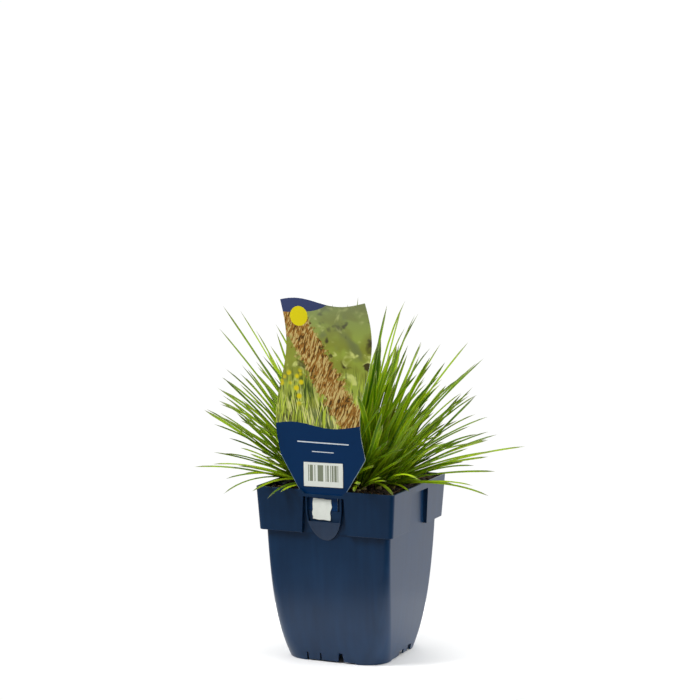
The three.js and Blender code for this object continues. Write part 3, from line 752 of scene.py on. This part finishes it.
def makeLabelPrint():
    # Gloss varnished four-colour print on polystyrene sheet: smooth, even and a little shiny.
    material, tree, shader = newMaterial("printedPolystyrene", Roughness=0.3, Specular_IOR_Level=0.25)
    place = addNode(tree, "TexCoord", take="Object")
    inMm = addNode(tree, "Mapping", {"Vector": place, "Location": (-label["centre"], 0, 0),
        "Scale": (1000, 1000, 1000)})
    axes = addNode(tree, "SeparateXYZ", {0: inMm}, take=None)
    across, height = axes.outputs["X"], axes.outputs["Z"]
    layers = []

    for size, seed, least, most, tone in meadow["clouds"]:
        cloud = addNode(tree, "TexNoise", {"Vector": inMm, "W": seed, "Scale": 1 / size, "Detail": 2.0,
            "Distortion": 0.5}, noise_dimensions="4D")
        mask = addNode(tree, "MapRange", {"Value": cloud, "From Min": least, "From Max": most}, **smooth)
        layers.append((mask, tone))
    high = addNode(tree, "MapRange", {"Value": height, "From Min": 300, "From Max": 345, "To Max": 0.75})
    layers.append((high, meadow["sky"]))

    for lean, long, wide, seed, least, most, tone, top in meadow["strokes"]:
        turned = addNode(tree, "Mapping", {"Vector": inMm, "Rotation": (0, lean, 0)})
        drawn = addNode(tree, "Mapping", {"Vector": turned, "Scale": (1 / wide, 1, 1 / long)})
        stroke = addNode(tree, "TexNoise", {"Vector": drawn, "W": seed, "Scale": 1.0, "Detail": 2.0,
            "Distortion": 0.7}, noise_dimensions="4D")
        mask = addNode(tree, "MapRange", {"Value": stroke, "From Min": least, "From Max": most}, **smooth)
        lower = addNode(tree, "MapRange", {"Value": height, "From Min": top, "From Max": top - 26}, **smooth)
        both = addNode(tree, "Math MULTIPLY", {0: mask, 1: lower})
        layers.append((both, tone))

    # the drift: how far a point lies from its middle line, with a ragged edge
    footAcross, footHeight = meadow["driftFoot"]
    up = addNode(tree, "Math SUBTRACT", {0: height, 1: footHeight})
    middle = addNode(tree, "Math MULTIPLY_ADD", {0: up, 1: -meadow["driftLean"], 2: footAcross})
    off = addNode(tree, "Math SUBTRACT", {0: across, 1: middle})
    distance = addNode(tree, "Math ABSOLUTE", {0: off})
    ragged = addNode(tree, "TexNoise", {"Vector": inMm, "Scale": 0.22, "Detail": 5.0, "Roughness": 0.75})
    edge = addNode(tree, "Math MULTIPLY_ADD", {0: ragged, 1: -34.0, 2: distance})
    drift = addNode(tree, "MapRange", {"Value": edge, "From Min": meadow["driftHalf"] - 15.0,
        "From Max": meadow["driftHalf"] - 19.0}, **smooth)
    turned = addNode(tree, "Mapping", {"Vector": inMm, "Rotation": (0, -0.35, 0)})
    drawn = addNode(tree, "Mapping", {"Vector": turned, "Scale": (0.62, 1, 0.13)})
    straw = addNode(tree, "TexNoise", {"Vector": drawn, "Scale": 1.0, "Detail": 2.0, "Roughness": 0.5,
        "Distortion": 0.8})
    dark = addNode(tree, "MapRange", {"Value": straw, "From Min": 0.47, "From Max": 0.36}, **smooth)
    pale = addNode(tree, "MapRange", {"Value": straw, "From Min": 0.5, "From Max": 0.6}, **smooth)
    husk, chaff = linear(meadow["husk"]), linear(meadow["chaff"])
    strawColour = addNode(tree, "Mix", {"Factor": pale, 6: husk, 7: chaff}, **rgba)
    strawColour = addNode(tree, "Mix", {"Factor": dark, 6: strawColour, 7: linear(meadow["between"])}, **rgba)
    layers.append((drift, strawColour))

    # soft yellow flowers at the left
    heads = addNode(tree, "TexVoronoi", {"Vector": inMm, "Scale": 0.12}, take=None)
    petals = addNode(tree, "MapRange", {"Value": heads.outputs["Distance"], "From Min": 0.42,
        "From Max": 0.2}, **smooth)
    patch = addNode(tree, "VectorMath DISTANCE", {0: inMm, 1: meadow["flowersAt"]}, take="Value")
    near = addNode(tree, "MapRange", {"Value": patch, "From Min": 19, "From Max": 14})
    flowers = addNode(tree, "Math MULTIPLY", {0: petals, 1: near})
    layers.append((flowers, meadow["flower"]))

    # the blue field with two ruled lines, the band at the top and the plain disc
    beat = addNode(tree, "Math MULTIPLY_ADD", {0: across, 1: 2 * math.pi / 80, 2: 2.36})
    wave = addNode(tree, "Math COSINE", {0: beat})
    far, level = meadow["fieldTop"]
    wave = addNode(tree, "Math MULTIPLY_ADD", {0: wave, 1: far, 2: level})
    field = addNode(tree, "Math GREATER_THAN", {0: wave, 1: height})
    layers.append((field, meadow["blue"]))
    for level, half, thick in meadow["lines"]:
        tilted = addNode(tree, "Math MULTIPLY_ADD", {0: across, 1: 0.012, 2: height})
        row = addNode(tree, "Math COMPARE", {0: tilted, 1: level, 2: thick / 2})
        span = addNode(tree, "Math COMPARE", {0: across, 1: 0.0, 2: half})
        both = addNode(tree, "Math MULTIPLY", {0: row, 1: span})
        layers.append((both, meadow["line"]))
    power = addNode(tree, "Math MULTIPLY_ADD", {0: across, 1: 0.1, 2: -0.15})
    sweep = addNode(tree, "Math EXPONENT", {0: power})
    far, level = meadow["bandFoot"]
    sweep = addNode(tree, "Math MULTIPLY_ADD", {0: sweep, 1: far, 2: level})
    band = addNode(tree, "Math GREATER_THAN", {0: height, 1: sweep})
    layers.append((band, meadow["band"]))
    flat = addNode(tree, "CombineXYZ", {0: across, 1: height})
    fromDisc = addNode(tree, "VectorMath DISTANCE", {0: flat, 1: meadow["discAt"]}, take="Value")
    disc = addNode(tree, "Math LESS_THAN", {0: fromDisc, 1: meadow["discRadius"]})
    layers.append((disc, meadow["disc"]))

    # the cut edge shows as a pale line beside the foot
    foot = addNode(tree, "Math MAXIMUM", {0: height, 1: label["shoulder"]})
    aside = addNode(tree, "Math ABSOLUTE", {0: across})
    slant = addNode(tree, "Math MULTIPLY_ADD", {0: foot, 1: -label["flare"], 2: aside})
    limit = label["shoulderHalf"] - label["flare"] * label["shoulder"] - 0.35
    edge = addNode(tree, "Math GREATER_THAN", {0: slant, 1: limit})
    layers.append((edge, meadow["cutEdge"]))

    colour = linear(meadow["base"])
    for mask, tone in layers:
        tone = linear(tone) if isinstance(tone, str) else tone
        colour = addNode(tree, "Mix", {"Factor": mask, 6: colour, 7: tone}, **rgba)
    tree.links.new(colour, shader.inputs["Base Color"])
    return material


def makeLabel():
    heights = label["tongue"] + list(np.linspace(label["shoulder"], label["corner"], 14)[:-1])
    heights += list(np.linspace(label["corner"], label["top"], 60))
    selectNone()
    bpy.ops.mesh.primitive_grid_add(x_subdivisions=label["columns"], y_subdivisions=len(heights) - 1, size=2)
    piece = bpy.context.object
    points = getPoints(piece)
    for point in points:
        height = heights[round((point[1] + 1) / 2 * (len(heights) - 1))]
        left, right = labelEdge(height, -1), labelEdge(height, 1)
        across = left + (right - left) * (point[0] + 1) / 2
        lift = float(smoothStep(height, label["top"] - 45, label["top"]))
        z = height + lift * labelTop(across)
        point[:] = (label["centre"] + across, labelFace(across, z), z)
    setPoints(piece, points * mm)
    applyModifier(piece, "SOLIDIFY", thickness=label["thickness"] * mm, offset=-1)
    outward(piece)
    piece.name = piece.data.name = "plant_label_sheet"
    finishPiece(piece, makeLabelPrint(), ["plant_label"], 35)
    piece.data.materials.append(makeLabelBack())
    for face in piece.data.polygons:
        face.material_index = 0 if face.normal.y < -0.6 else 1


def makeStickerPaper(sticker):
    # Coated label paper: white, hardly shining, with printed grey bars that stand for nothing.
    material, tree, shader = newMaterial(sticker["name"] + "Paper", Roughness=0.55, IOR=1.45)
    place = addNode(tree, "TexCoord", take="Object")
    centre = (label["centre"] + sticker["across"], 0, sticker["height"])
    moved = addNode(tree, "VectorMath SUBTRACT", {0: place, 1: tuple(c * mm for c in centre)})
    turned = addNode(tree, "Mapping", {"Vector": moved, "Rotation": (0, math.atan(sticker["tilt"]), 0),
        "Scale": (1000, 1000, 1000)})
    fibre = addNode(tree, "TexNoise", {"Vector": turned, "Scale": 0.8, "Detail": 4.0})
    colour = addNode(tree, "Mix", {"Factor": fibre, 6: linear("#eaf0e6"), 7: linear("#f8faf2")}, **rgba)
    if sticker["bars"]:
        axes = addNode(tree, "SeparateXYZ", {0: turned}, take=None)
        (middle, half), (level, halfTall) = bars["across"], bars["up"]
        cell = addNode(tree, "Math SNAP", {0: axes.outputs["X"], 1: bars["cell"]})
        chance = addNode(tree, "TexWhiteNoise", {"W": cell}, noise_dimensions="1D", take="Value")
        dark = addNode(tree, "Math LESS_THAN", {0: chance, 1: bars["share"]})
        width = addNode(tree, "Math COMPARE", {0: axes.outputs["X"], 1: middle, 2: half})
        tall = addNode(tree, "Math COMPARE", {0: axes.outputs["Z"], 1: level, 2: halfTall})
        area = addNode(tree, "Math MULTIPLY", {0: width, 1: tall})
        mask = addNode(tree, "Math MULTIPLY", {0: dark, 1: area})
        colour = addNode(tree, "Mix", {"Factor": mask, 6: colour, 7: linear(bars["ink"])}, **rgba)
    tree.links.new(colour, shader.inputs["Base Color"])
    return material


def makeSticker(sticker):
    selectNone()
    bpy.ops.mesh.primitive_grid_add(x_subdivisions=24, y_subdivisions=16, size=1)
    piece = bpy.context.object
    points = getPoints(piece)
    for point in points:
        along, up = point[0] * sticker["width"], point[1]
        ragged = sticker["curl"] * noise.noise(Vector((point[0] * 3, up * 3.5, 2.0)))
        z = sticker["height"] + up * sticker["depth"] + along * sticker["tilt"]
        z += 0.8 * ragged * abs(2 * up) ** 3
        across = sticker["across"] + along - up * sticker["depth"] * sticker["tilt"]
        across += 1.6 * ragged * abs(2 * point[0]) ** 3
        stand = 0.6 + max(0, sticker["curl"] * (0.25 + noise.noise(Vector((along / 5, z / 6, 0.0))))) * 0.3
        point[:] = (label["centre"] + across, labelFace(across, z) - stand, z)
    setPoints(piece, points * mm)
    applyModifier(piece, "SOLIDIFY", thickness=0.3 * mm, offset=-1)
    piece.name = piece.data.name = sticker["name"] + "_paper"
    finishPiece(outward(piece), makeStickerPaper(sticker), [sticker["name"]], 40)


makeLabel()
makeSticker(priceSticker)
makeSticker(passportSticker)
print("label and stickers: done")


grass = {
    "blades": 8,
    "lean": math.radians(50),
    "spread": math.radians(31),
    "reach": (141, 106),
    "tries": 14,
    "seed": 20,
}
young = {  # the thinner blades added to each tiller
    "count": 8,
    "tries": 20,
    "width": (1.7, 1.3),  # the thinnest, and how much wider the widest is
    "length": (0.42, 0.24),
    "longLength": 0.76,  # of every fourth one
    "green": 0.93,  # the share that isn't dry
}
keepOff = {"reach": 3, "behindLabel": -61, "besideLabel": 9, "rimInside": 62, "rimTop": 169, "soil": 1.5}
sheath = {
    "radii": [4.4, 4.1, 3.3, 2.1, 0.0],
    "heights": [-9.0, -2.5, 0.8, 4.0, 8.0],
    "lobes": 0.14,
    "part": 0.03,  # how far up the leaf its colours go
    "shade": 0.1,
    "dry": 0.75,
}
leafColours = {
    "dark": "#3f6205",
    "light": "#a2bf12",
    "dry": "#80693a",
    # from and to along the leaf, how much there, colour: painted shade low down (darker lower leaf for the
    # shadow inside the tuft), the pale foot, the tip
    "zones": [
        (0.1, 0.5, 0.6, 0.0, "#2c4a06"),
        (0.0, 0.12, 0.8, 0.0, "#7d8c30"),
        (0.82, 1.0, 0.0, 0.85, "#5d5844"),
    ],
}
blade = {
    "steps": 12,
    "thickness": 1.1,
    "over": 0.35,  # the share of it above the middle
    "under": 0.65,
    "leaf": 0.32,  # of the leaf itself, in the fold
    "width": (2.4, 3.9),
    "longest": 180,
    "shorter": 84,
    "flat": math.radians(80),
    "droop": (math.radians(4), math.radians(30)),
    "swerve": math.radians(13),
    "twist": math.radians(35),
    "ring": 2.6,
    "rootHeight": 2.8,
}

# azimuth, distance and height of the tip, the root's distance from the middle, droop in degrees, width
strays = [
    (190, 128, 331, 14, 5, 2.6), (215, 108, 331, 10, 5, 2.4), (181, 140.2, 307, 22, 7, 2.8),
    (228, 99, 314, 16, 6, 2.4), (176, 105.5, 275, 20, 10, 2.8), (222, 106, 269, 22, 10, 2.6),
    (200, 108, 258, 24, 12, 3), (186, 137, 250, 30, 14, 3), (208, 123.5, 249, 30, 10, 2.6),
    (196, 128, 237, 28, 38, 3), (188, 114, 210, 36, 16, 3), (228, 142, 202, 40, 12, 2.8),
    (194, 112, 177, 40, 14, 2.8), (206, 121, 168, 42, 34, 2.6), (199, 124, 151, 42, 52, 2.6),
    (100, 25, 340, 6, 6, 2.4), (50, 27, 297, 14, 6, 3), (30, 47, 330, 12, 6, 3), (0, 48, 299, 16, 8, 3.2),
    (45, 58, 294, 20, 8, 3), (10, 65, 287, 20, 9, 3), (35, 67.5, 298, 22, 9, 3.2), (18, 84, 298, 24, 11, 3),
    (28, 111.5, 298, 24, 11, 3.2), (15, 125, 285, 28, 10, 3.2), (36, 123, 276, 30, 12, 3),
    (5, 116.7, 278, 24, 14, 3.2), (30, 114, 249, 32, 14, 3.4), (0, 118, 253, 30, 14, 3.2),
    (40, 104.6, 230, 34, 16, 3), (12, 113, 221, 34, 20, 3.4), (22, 130, 213, 38, 18, 3.2),
    (8, 137.7, 199, 38, 18, 3.2), (35, 171.8, 193, 40, 14, 2.8), (27, 131, 187, 40, 16, 3),
    (16, 137, 177, 42, 14, 2.8), (350, 112, 172, 42, 20, 2.8), (4, 135, 158, 44, 30, 2.6),
    (240, 99, 158, 44, 64, 2.4), (249, 96, 166, 42, 50, 2.4), (233, 108, 164, 44, 50, 2.4),
    (294, 78, 168, 42, 52, 2.6), (317, 93, 165, 44, 50, 2.6), (331, 86, 166, 44, 40, 2.4),
    (90, 105.6, 236, 30, 22, 3.2), (62, 112, 250, 26, 18, 3.2), (120, 118, 228, 32, 22, 3),
    (150, 122, 262, 28, 16, 3), (76, 104, 186, 42, 24, 3), (106, 108, 198, 40, 26, 3),
]


def seeded(seed):
    state = seed & 0xFFFFFFFF

    def draw():
        nonlocal state
        state = (state + 0x6D2B79F5) & 0xFFFFFFFF
        t = ((state ^ (state >> 15)) * (state | 1)) & 0xFFFFFFFF
        t ^= (t + (((t ^ (t >> 7)) * (t | 61)) & 0xFFFFFFFF)) & 0xFFFFFFFF
        return ((t ^ (t >> 14)) & 0xFFFFFFFF) / 4294967296

    return draw


def between(limits, t):
    return limits[0] * (1 - t) + limits[1] * t


def tillerPlace(index):
    out = crown["radius"] * math.sqrt((index + 0.5) / crown["tillers"])
    azimuth = index * goldenAngle
    return {"index": index, "out": out, "azimuth": azimuth, "x": crown["x"] + out * math.cos(azimuth),
        "y": crown["y"] + out * math.sin(azimuth)}


def drawBlade(place, index, seed):
    draw = seeded(seed)
    lean = grass["lean"] * (place["out"] / crown["radius"]) ** 1.3
    off = grass["spread"] * math.sqrt(draw())
    around = index * goldenAngle + 0.4 * draw()
    tilt = lean + off * math.cos(around)
    azimuth = place["azimuth"] + off * math.sin(around) / max(math.sin(abs(lean)), 0.35)
    longest = blade["longest"] - blade["shorter"] * min(max(tilt / blade["flat"], 0), 1)
    return {
        "x": place["x"] + blade["ring"] * math.cos(around + place["azimuth"]),
        "y": place["y"] + blade["ring"] * math.sin(around + place["azimuth"]),
        "azimuth": azimuth,
        "tilt": tilt,
        "droop": between(blade["droop"], draw()),
        "swerve": between((-blade["swerve"], blade["swerve"]), draw()),
        "length": longest * (0.5 + 0.5 * draw() ** 0.8),
        "width": between(blade["width"], draw()),
        "twist": between((-blade["twist"], blade["twist"]), draw()),
    }


def drawStray(place, row, attempt):
    azimuth, distance, height, _, droop, width = row
    draw = seeded(grass["seed"] * 200000 + strays.index(row) * 20 + attempt)
    tip = (distance * math.cos(math.radians(azimuth)), distance * math.sin(math.radians(azimuth)), height)
    x = place["x"] + 3 * (draw() - 0.5)
    y = place["y"] + 3 * (draw() - 0.5)
    out = math.hypot(tip[0] - x, tip[1] - y)
    rise = height - soilHeight(x, y) - blade["rootHeight"]
    bend = math.radians(droop) * (1 + 0.2 * attempt * (draw() - 0.4))
    swerve = (draw() - 0.5) * math.radians(8 + 6 * attempt)
    return {"x": x, "y": y, "azimuth": math.atan2(tip[1] - y, tip[0] - x) - 0.5 * swerve,
        "tilt": math.atan2(out, rise) - 0.4 * bend, "droop": bend, "swerve": swerve,
        "length": math.hypot(out, rise) * (1 + 0.03 * bend * bend), "width": width,
        "twist": (draw() - 0.5) * math.radians(50), "tip": tip}


def bladePath(shape):
    steps = blade["steps"]
    points = [(shape["x"], shape["y"], soilHeight(shape["x"], shape["y"]) + blade["rootHeight"])]
    step = shape["length"] / steps
    for i in range(steps):
        t = (i + 0.5) / steps
        tilt = shape["tilt"] + shape["droop"] * t**1.5
        azimuth = shape["azimuth"] + shape["swerve"] * t
        x, y, z = points[-1]
        ahead = step * math.sin(tilt)
        points.append((x + ahead * math.cos(azimuth), y + ahead * math.sin(azimuth),
            z + step * math.cos(tilt)))
    points = np.array(points)
    if "tip" in shape:
        points += (np.array(shape["tip"]) - points[-1]) * np.linspace(0, 1, steps + 1)[:, None]
    return points


def bladeWidth(t):
    return (0.72 + 1.1 * t - 0.9 * t * t) * min(1, 2.8 * (1 - t)) ** 0.8


# The finer leaf is broader and keeps its width nearly to the tip.
def leafWidth(t):
    return 1.38 * (0.7 + 0.8 * t - 0.6 * t * t) * min(1, 8 * (1 - t)) ** 0.6


# The across and upper directions of a blade at one step, with its half width and thickness there.
def bladeSection(shape, path, i, widthAt=bladeWidth):
    steps = blade["steps"]
    along = path[min(i + 1, steps)] - path[max(0, i - 1)]
    along = along / np.linalg.norm(along)
    azimuth = shape["azimuth"] + shape["swerve"] * (i / steps)
    level = Vector((-math.sin(azimuth), math.cos(azimuth), 0))
    turned = np.array(Matrix.Rotation(shape["twist"] * (i / steps - 0.2), 3, Vector(along)) @ level)
    upper = np.cross(turned, along)
    upper = upper / np.linalg.norm(upper)
    width = shape["width"] * widthAt(i / steps)
    return turned, upper, width / 2, blade["thickness"] * (0.6 + 0.4 * width / shape["width"])


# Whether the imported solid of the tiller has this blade.
def isGrown(tree, shape, path):
    if "tip" not in shape:
        return tree.find(Vector(path[-1]))[2] < 0.03
    turned, upper, half, thick = bladeSection(shape, path, 9)
    rib = path[9] + upper * thick * blade["over"]
    corners = (rib - turned * half, rib + turned * half, path[9] - upper * thick * blade["under"])
    return sum(tree.find(Vector(corner))[2] < 0.03 for corner in corners) >= 2


def grownBlades():
    places = [tillerPlace(index) for index in range(crown["tillers"])]
    trees = []
    for index in range(crown["tillers"]):
        points = getPoints(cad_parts[f"tiller_{index + 1:02d}"]) / mm
        tree = KDTree(len(points))
        for i, point in enumerate(points):
            tree.insert(point, i)
        tree.balance()
        trees.append(tree)
    found = [[] for _ in places]
    for row in strays:
        rootX = crown["x"] + row[3] * math.cos(math.radians(row[0]))
        rootY = crown["y"] + row[3] * math.sin(math.radians(row[0]))
        nearest = min(places, key=lambda place: math.hypot(place["x"] - rootX, place["y"] - rootY))
        for attempt in range(grass["tries"]):
            shape = drawStray(nearest, row, attempt)
            if isGrown(trees[nearest["index"]], shape, bladePath(shape)):
                found[nearest["index"]].append(shape)
                break
    strayCount = sum(map(len, found))
    for place in places:
        for index in range(grass["blades"]):
            for attempt in range(grass["tries"]):
                seed = grass["seed"] * 100000 + place["index"] * 1000 + index * 20 + attempt
                shape = drawBlade(place, index, seed)
                if isGrown(trees[place["index"]], shape, bladePath(shape)):
                    found[place["index"]].append(shape)
                    break
    print("blades found in the frame:", strayCount, "strays and", sum(map(len, found)) - strayCount, "others")
    return places, found


# Thinner blades that the frame leaves to the looks. None passes through the label, the rim or the soil.
def youngBlades(place):
    shapes = []
    for index in range(young["count"]):
        for attempt in range(young["tries"]):
            seed = 7000000 + place["index"] * 1000 + index * 20 + attempt
            shape = drawBlade(place, index + 0.37, seed)
            draw = seeded(seed + 500000)
            thinnest, wider = young["width"]
            short, longer = young["length"]
            shape["width"] = thinnest + wider * draw()
            shape["length"] *= (short if index % 4 else young["longLength"]) + longer * draw()
            shape["dry"] = draw() > young["green"]
            if isFree(bladePath(shape)):
                shapes.append(shape)
                break
    return shapes


def isFree(path):
    x, y, z = path.T
    far, side = grass["reach"][0] - keepOff["reach"], grass["reach"][1] - keepOff["reach"]
    if np.any(np.abs(x) > far) or np.any(np.abs(y) > side):
        return False
    beside = label["half"] + keepOff["besideLabel"]
    if np.any((y < keepOff["behindLabel"]) & (np.abs(x - label["centre"]) < beside)):
        return False
    out = np.maximum(np.abs(x), np.abs(y))
    if np.any((out > keepOff["rimInside"]) & (z < keepOff["rimTop"])):
        return False
    return all(z[i] > soilHeight(x[i], y[i]) + keepOff["soil"] for i in range(1, len(z)))


# A tube that closes at its end, with an unwrap that runs along a part of the leaf.
def leafTube(sides, steps, part):
    piece = extrudedCircle(sides, steps, pointed=True)
    points = getPoints(piece)
    layer = piece.data.uv_layers.new(name="bladeUV")
    for loop in piece.data.loops:
        x, _, z = points[loop.vertex_index]
        layer.data[loop.index].uv = (0.5 + 0.5 * x, part * z / steps)
    return piece


# Each leaf keeps its own shade of green and how dry it is.
def tintLeaf(leaf, shade, dry):
    tint = leaf.data.color_attributes.new("bladeTint", "FLOAT_COLOR", "POINT")
    tint.data.foreach_set("color", [shade, float(dry), 0.0, 1.0] * len(leaf.data.vertices))
    return leaf


def bendBlade(template, shape):
    base = getPoints(template)
    path = bladePath(shape)
    points = np.empty_like(base)
    for i in range(blade["steps"] + 1):
        turned, upper, half, thick = bladeSection(shape, path, i, leafWidth)
        rows = np.flatnonzero(np.rint(base[:, 2]) == i)
        for row in rows:
            x, y, _ = base[row]
            if i == blade["steps"]:
                points[row] = path[i]
            elif abs(x) > 0.5:  # the two edges of the leaf
                points[row] = path[i] - turned * half * np.sign(x) + upper * thick * blade["over"]
            elif y > 0:  # the fold on its upper side
                points[row] = path[i] + upper * (blade["leaf"] - thick * blade["under"])
            else:
                points[row] = path[i] - upper * thick * blade["under"]
    draw = seeded(int(abs(shape["x"] * 977 + shape["y"] * 613 + shape["length"] * 31)))
    return tintLeaf(copyShaped(template, "blade", points), draw(), shape.get("dry", False))


# The sheaths at the foot of a tiller, as one lobed closed cone that stands in the soil.
def placeSheath(template, place):
    base = getPoints(template)
    turn = np.arctan2(base[:, 1], base[:, 0])
    level = np.rint(base[:, 2]).astype(int)
    radius = np.array(sheath["radii"])[level] * (1 + sheath["lobes"] * np.cos(4 * turn + place["index"]))
    height = np.array(sheath["heights"])[level]
    x, y = place["x"], place["y"]
    points = np.stack([x + radius * np.cos(turn), y + radius * np.sin(turn), soilHeight(x, y) + height], 1)
    return tintLeaf(copyShaped(template, "sheath", points), sheath["shade"], sheath["dry"])


def makeLeafMaterial():
    # Living grass leaf: waxy on thin ribs, so it shines along the blade. Pale at the sheath, dry at the tip.
    material, tree, shader = newMaterial("hairGrassLeaf", Roughness=0.48, Specular_IOR_Level=0.2,
        Subsurface_Weight=0.25, Subsurface_Radius=(0.6, 1.0, 0.25), Subsurface_Scale=0.0012)
    tint = addNode(tree, "Attribute", attribute_name="bladeTint", take="Color")
    parts = addNode(tree, "SeparateColor", {0: tint}, take=None)
    unwrap = addNode(tree, "UVMap", uv_map="bladeUV")
    axes = addNode(tree, "SeparateXYZ", {0: unwrap}, take=None)
    across, along = axes.outputs["X"], axes.outputs["Y"]
    place = addNode(tree, "TexCoord", take="Object")
    patches = addNode(tree, "TexNoise", {"Vector": place, "Scale": 70.0, "Detail": 3.0})
    toned = addNode(tree, "Math MULTIPLY_ADD", {0: patches, 1: 0.35, 2: parts.outputs[0]})
    amount = addNode(tree, "MapRange", {"Value": toned, "From Min": 0.15, "From Max": 1.15})
    dark, light, dry = (linear(leafColours[name]) for name in ("dark", "light", "dry"))
    colour = addNode(tree, "Mix", {"Factor": amount, 6: dark, 7: light}, **rgba)
    # the first zone is painted shade: it darkens the lower leaf where the tuft shades itself
    for low, high, first, last, tone in leafColours["zones"]:
        zone = addNode(tree, "MapRange", {"Value": along, "From Min": low, "From Max": high, "To Min": first,
            "To Max": last})
        colour = addNode(tree, "Mix", {"Factor": zone, 6: colour, 7: linear(tone)}, **rgba)
    colour = addNode(tree, "Mix", {"Factor": parts.outputs[1], 6: colour, 7: dry}, **rgba)
    tree.links.new(colour, shader.inputs["Base Color"])
    # three ribs across a leaf of 3 mm, coarser than real ones so that they show
    waves = addNode(tree, "Math MULTIPLY", {0: across, 1: 19.0})
    ribs = addNode(tree, "Math SINE", {0: waves})
    bump = addNode(tree, "Bump", {"Height": ribs, "Strength": 0.14, "Distance": 0.0001})
    tree.links.new(bump, shader.inputs["Normal"])
    return material


def makeGrass():
    places, found = grownBlades()
    template = leafTube(4, blade["steps"], 1.0)
    cone = leafTube(12, len(sheath["radii"]) - 1, sheath["part"])
    leaf = makeLeafMaterial()
    count = 0
    for place in places:
        shapes = found[place["index"]] + youngBlades(place)
        count += len(shapes)
        parts = [placeSheath(cone, place)] + [bendBlade(template, shape) for shape in shapes]
        name = f"tiller_{place['index'] + 1:02d}"
        tiller = joinPieces(parts, name + "_blades")
        finishPiece(tiller, leaf, [name], 50)
    bpy.data.objects.remove(template)
    bpy.data.objects.remove(cone)
    print("grass: done,", count, "blades")


makeGrass()
